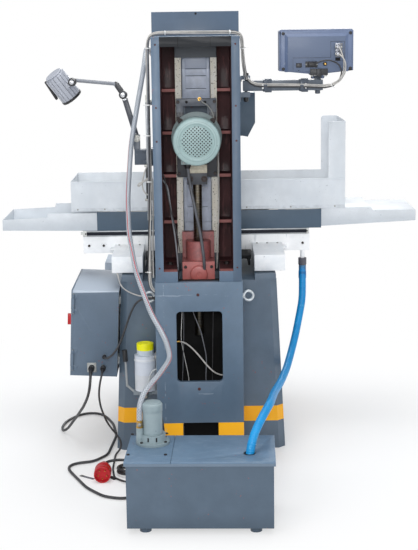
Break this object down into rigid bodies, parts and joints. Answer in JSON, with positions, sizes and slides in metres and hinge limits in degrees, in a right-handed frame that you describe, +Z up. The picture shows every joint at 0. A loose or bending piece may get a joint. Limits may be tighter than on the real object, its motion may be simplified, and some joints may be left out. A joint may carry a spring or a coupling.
{
  "type": "manual surface grinder",
  "caption": "Manual surface grinder with open-backed column, sliding wheelhead, saddle and table, magnetic chuck, lamp, readout, electric cabinet and coolant tank.",
  "frame": {"origin": "on the floor under the middle of the column's width, 130 mm behind the wheel", "axes": "+Z up, +X to the operator's right, +Y from the operator towards the open back of the column"},
  "size_m": [1.694, 1.8326, 1.732],
  "materials": {
    "grey_paint": "satin",
    "red_casting": "satin",
    "cabinet_paint": "satin",
    "cabinet_parts": "matte",
    "panel_paint": "satin",
    "clear_plastic": "gloss",
    "pump_paint": "satin",
    "black_steel": "satin",
    "aluminium": "satin",
    "clear_hose": "gloss",
    "black_rubber": "matte",
    "red_plastic": "gloss",
    "green_plastic": "gloss",
    "grey_plastic": "satin",
    "readout_case": "satin",
    "chrome_trim": "polished",
    "bronze": "satin",
    "bright_steel": "ground",
    "abrasive": "matte",
    "sheet_paint": "satin",
    "blue_hose": "matte"
  },
  "bodies": {
    "root": {"base": "grey_paint", "pedestal": "grey_paint", "column": "grey_paint", "gearbox_housing": "red_casting", "cabinet_body": "cabinet_paint", "cabinet_fittings": "cabinet_parts", "control_box": "panel_paint", "oil_reservoir": "clear_plastic", "tank_body": "panel_paint", "tank_lids": "panel_paint", "coolant_pump": "pump_paint", "eyebolts": "black_steel", "arm_brackets": "black_steel", "z_scale": "aluminium", "coolant_hose": "clear_hose", "motor_cable": "black_rubber", "mains_cable": "black_rubber", "mains_coil": "black_rubber", "mains_plug": "red_plastic", "pump_cable": "black_rubber", "cable_loom": "black_rubber", "cross_bellows": "black_rubber", "drain_hose": "blue_hose"},
    "cabinet_door": {"cabinet_door": "cabinet_paint"},
    "main_switch": {"main_switch": "red_plastic"},
    "start_button": {"start_button": "green_plastic"},
    "stop_button": {"stop_button": "red_plastic"},
    "oil_cap": {"oil_cap": "red_plastic"},
    "oil_lever": {"oil_lever": "black_steel"},
    "lamp_lower_arm": {"lamp_lower_arm": "grey_plastic"},
    "lamp_upper_arm": {"lamp_upper_arm": "grey_plastic"},
    "lamp_head": {"lamp_head": "grey_plastic"},
    "dro_arm": {"dro_arm": "aluminium"},
    "dro_display": {"dro_display": "readout_case"},
    "cross_handwheel": {"cross_handwheel": "chrome_trim"},
    "elevating_handwheel": {"elevating_handwheel": "chrome_trim"},
    "elevating_nut": {"elevating_nut": "bronze"},
    "guard_door": {"guard_door": "grey_paint"},
    "valve_lever": {"valve_lever": "red_plastic"},
    "table_handwheel": {"table_handwheel": "chrome_trim"},
    "chuck_cam": {"chuck_cam": "black_steel"},
    "wheelhead": {"wheelhead": "grey_paint", "slide_plate": "black_steel", "motor_body": "pump_paint", "fan_cover": "pump_paint", "spindle_bearings": "bright_steel", "wheel_guard": "grey_paint", "coolant_nozzle": "chrome_trim", "slot_plates": "sheet_paint", "elevating_screw": "bright_steel"},
    "spindle": {"spindle": "bright_steel", "grinding_wheel": "abrasive", "wheel_flange": "black_steel"},
    "saddle": {"saddle": "grey_paint", "way_covers": "sheet_paint", "x_scale": "aluminium"},
    "table": {"table": "bright_steel", "table_wings": "sheet_paint", "splash_guard": "sheet_paint", "magnetic_chuck": "bright_steel"}
  },
  "joints": [
    {"name": "saddle_slide", "type": "slide", "parent": "root", "child": "saddle", "axis": [0, 1, 0], "range_m": [-0.12, 0.085], "deforming": ["cross_bellows", "drain_hose"]},
    {"name": "table_slide", "type": "slide", "parent": "saddle", "child": "table", "axis": [1, 0, 0], "range_m": [-0.2, 0.275]},
    {"name": "head_slide", "type": "slide", "parent": "root", "child": "wheelhead", "axis": [0, 0, 1], "range_m": [-0.14, 0.14], "deforming": ["coolant_hose", "motor_cable"]},
    {"name": "spindle_turn", "type": "hinge", "parent": "wheelhead", "child": "spindle", "pos_m": [0, 0, 1.258], "axis": [0, 1, 0], "continuous": true},
    {"name": "table_wheel_turn", "type": "hinge", "parent": "saddle", "child": "table_handwheel", "pos_m": [-0.2, -0.353, 0.838], "axis": [0, 1, 0], "range_deg": [-940, 1290]},
    {"name": "cross_wheel_turn", "type": "hinge", "parent": "root", "child": "cross_handwheel", "pos_m": [0.2, -0.55, 0.715], "axis": [0, 1, 0], "range_deg": [-8700, 6200]},
    {"name": "lift_wheel_turn", "type": "hinge", "parent": "root", "child": "elevating_handwheel", "pos_m": [0, -0.557, 0.652], "axis": [0, 1, 0], "range_deg": [-10150, 10150]},
    {"name": "lift_nut_turn", "type": "hinge", "parent": "root", "child": "elevating_nut", "pos_m": [0, 0.33, 0.72], "axis": [0, 0, 1], "range_deg": [-10150, 10150]},
    {"name": "cabinet_door_swing", "type": "hinge", "parent": "root", "child": "cabinet_door", "pos_m": [0.49993, 0.305, 0.48817], "axis": [-0.0476, 0, 0.9989], "range_deg": [0, 110]},
    {"name": "main_switch_turn", "type": "hinge", "parent": "cabinet_door", "child": "main_switch", "pos_m": [0.5133, 0.12, 0.5088], "axis": [0.9989, 0, 0.0476], "range_deg": [0, 90]},
    {"name": "start_press", "type": "slide", "parent": "root", "child": "start_button", "axis": [0, 1, 0], "range_m": [0, 0.004], "stiffness_N_per_m": 300},
    {"name": "stop_press", "type": "slide", "parent": "root", "child": "stop_button", "axis": [0, 1, 0], "range_m": [0, 0.004], "stiffness_N_per_m": 300},
    {"name": "oil_cap_lift", "type": "slide", "parent": "root", "child": "oil_cap", "axis": [0, 0, 1], "range_m": [0, 0.06]},
    {"name": "oil_lever_pull", "type": "hinge", "parent": "root", "child": "oil_lever", "pos_m": [0.258, 0.34, 0.258], "axis": [0, 1, 0], "range_deg": [0, 18], "stiffness_Nm_per_rad": 2},
    {"name": "lamp_base_swing", "type": "hinge", "parent": "root", "child": "lamp_lower_arm", "pos_m": [0.234, 0.2, 1.249], "axis": [0, 1, 0], "range_deg": [-12, 12]},
    {"name": "lamp_elbow_bend", "type": "hinge", "parent": "lamp_lower_arm", "child": "lamp_upper_arm", "pos_m": [0.282, 0.2, 1.419], "axis": [0, 1, 0], "range_deg": [-15, 15]},
    {"name": "lamp_head_tilt", "type": "hinge", "parent": "lamp_upper_arm", "child": "lamp_head", "pos_m": [0.479, 0.2, 1.47], "axis": [0, 1, 0], "range_deg": [-20, 20]},
    {"name": "readout_swivel", "type": "hinge", "parent": "root", "child": "dro_arm", "pos_m": [-0.196, 0.16, 1.444], "axis": [0, 0, 1], "range_deg": [-20, 20]},
    {"name": "readout_tilt", "type": "hinge", "parent": "dro_arm", "child": "dro_display", "pos_m": [-0.477, 0.155, 1.474], "axis": [1, 0, 0], "range_deg": [-12, 12]},
    {"name": "guard_door_swing", "type": "hinge", "parent": "wheelhead", "child": "guard_door", "pos_m": [0.123, -0.163, 1.31], "axis": [0, 0, 1], "range_deg": [0, 100]},
    {"name": "coolant_valve_turn", "type": "hinge", "parent": "wheelhead", "child": "valve_lever", "pos_m": [0.1, -0.138, 1.419], "axis": [0, 1, 0], "range_deg": [0, 90]},
    {"name": "chuck_key_turn", "type": "hinge", "parent": "table", "child": "chuck_cam", "pos_m": [-0.046, -0.23, 0.958], "axis": [0, 1, 0], "range_deg": [0, 180]}
  ],
  "couplings": [
    {"joint": "table_wheel_turn", "follows": "table_slide", "rad_per_m": 81.63},
    {"joint": "cross_wheel_turn", "follows": "saddle_slide", "rad_per_m": 1256.6},
    {"joint": "lift_wheel_turn", "follows": "head_slide", "rad_per_m": -1256.6},
    {"joint": "lift_nut_turn", "follows": "head_slide", "rad_per_m": -1256.6}
  ]
}
